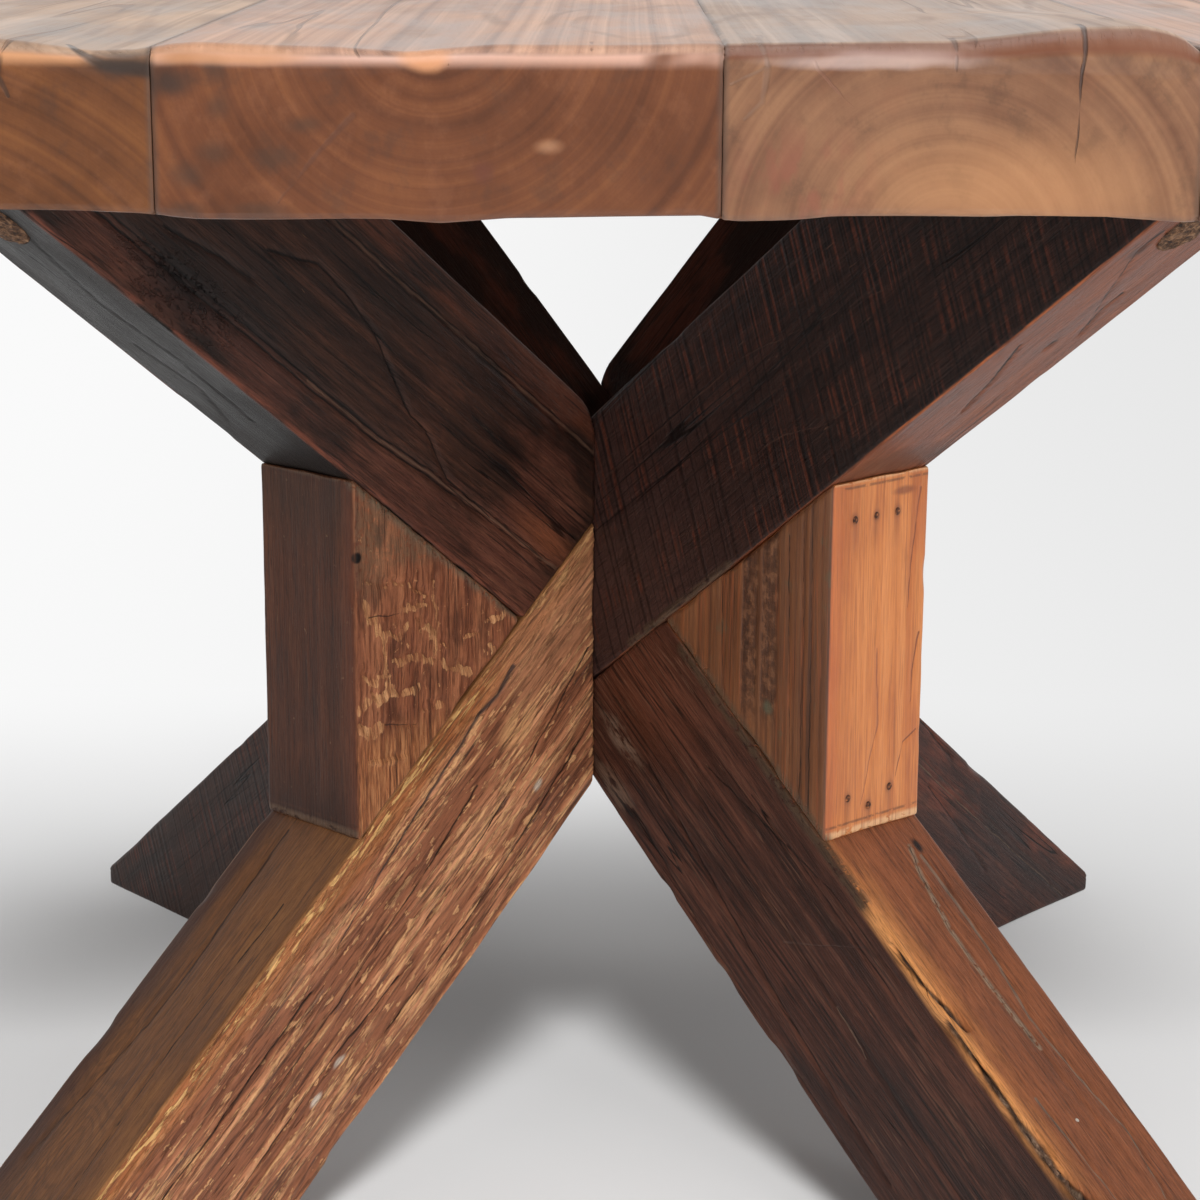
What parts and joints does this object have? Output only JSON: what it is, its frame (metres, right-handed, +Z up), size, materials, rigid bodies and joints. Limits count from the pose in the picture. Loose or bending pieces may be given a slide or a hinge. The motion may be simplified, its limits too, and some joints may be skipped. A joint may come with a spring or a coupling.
{
  "type": "dining table",
  "caption": "Heavy reclaimed-timber dining table: thick planks on an X-shaped pedestal of diagonal beams with wedge blocks between arms and legs.",
  "frame": {"origin": "on the floor, under the middle of the table top", "axes": "+Z up; +Y along the planks, the top's length; +X to the right across the planks"},
  "size_m": [1, 2, 0.76],
  "materials": {
    "olive_plank": "oiled and worn",
    "red_plank": "oiled and worn",
    "tan_plank": "oiled and worn",
    "saw_marked_beam": "dark, saw marked, waxed",
    "dark_beam": "dark, grooved, waxed",
    "rough_beam": "weathered, rough",
    "amber_beam": "amber arris, cracked",
    "honey_block": "smooth, waxed",
    "chipped_block": "adzed and chipped",
    "brown_block": "planed, waxed",
    "hidden_hardwood": "planed",
    "pocket_filler": "matte, fibrous",
    "zinc_steel": "zinc plated",
    "old_iron": "dark, rusted"
  },
  "bodies": {
    "root": {"top_plank_1": "tan_plank", "top_plank_2": "red_plank", "top_plank_3": "olive_plank", "top_plank_4": "red_plank", "top_plank_5": "tan_plank", "top_plank_6": "red_plank", "top_plank_7": "olive_plank", "top_tongue_1": "hidden_hardwood", "top_tongue_2": "hidden_hardwood", "top_tongue_3": "hidden_hardwood", "top_tongue_4": "hidden_hardwood", "top_tongue_5": "hidden_hardwood", "top_tongue_6": "hidden_hardwood", "through_diagonal": "saw_marked_beam", "front_right_leg": "amber_beam", "back_left_arm": "dark_beam", "front_left_leg": "rough_beam", "front_left_arm": "dark_beam", "back_right_leg": "dark_beam", "back_right_arm": "dark_beam", "front_right_block": "honey_block", "front_left_block": "chipped_block", "back_left_block": "brown_block", "back_right_block": "brown_block", "front_right_leg_tenon": "hidden_hardwood", "back_left_arm_tenon": "hidden_hardwood", "front_left_arm_dowels": "hidden_hardwood", "back_right_arm_dowels": "hidden_hardwood", "front_right_block_dowels": "hidden_hardwood", "front_left_block_dowels": "hidden_hardwood", "back_left_block_dowels": "hidden_hardwood", "back_right_block_dowels": "hidden_hardwood", "lower_tie_rod": "zinc_steel", "upper_tie_rod": "zinc_steel", "tie_rod_washers": "zinc_steel", "tie_rod_nuts": "zinc_steel", "top_lag_screws": "zinc_steel", "lag_screw_washers": "zinc_steel", "lag_pocket_plugs": "pocket_filler", "front_right_block_nails": "old_iron"}
  },
  "joints": []
}
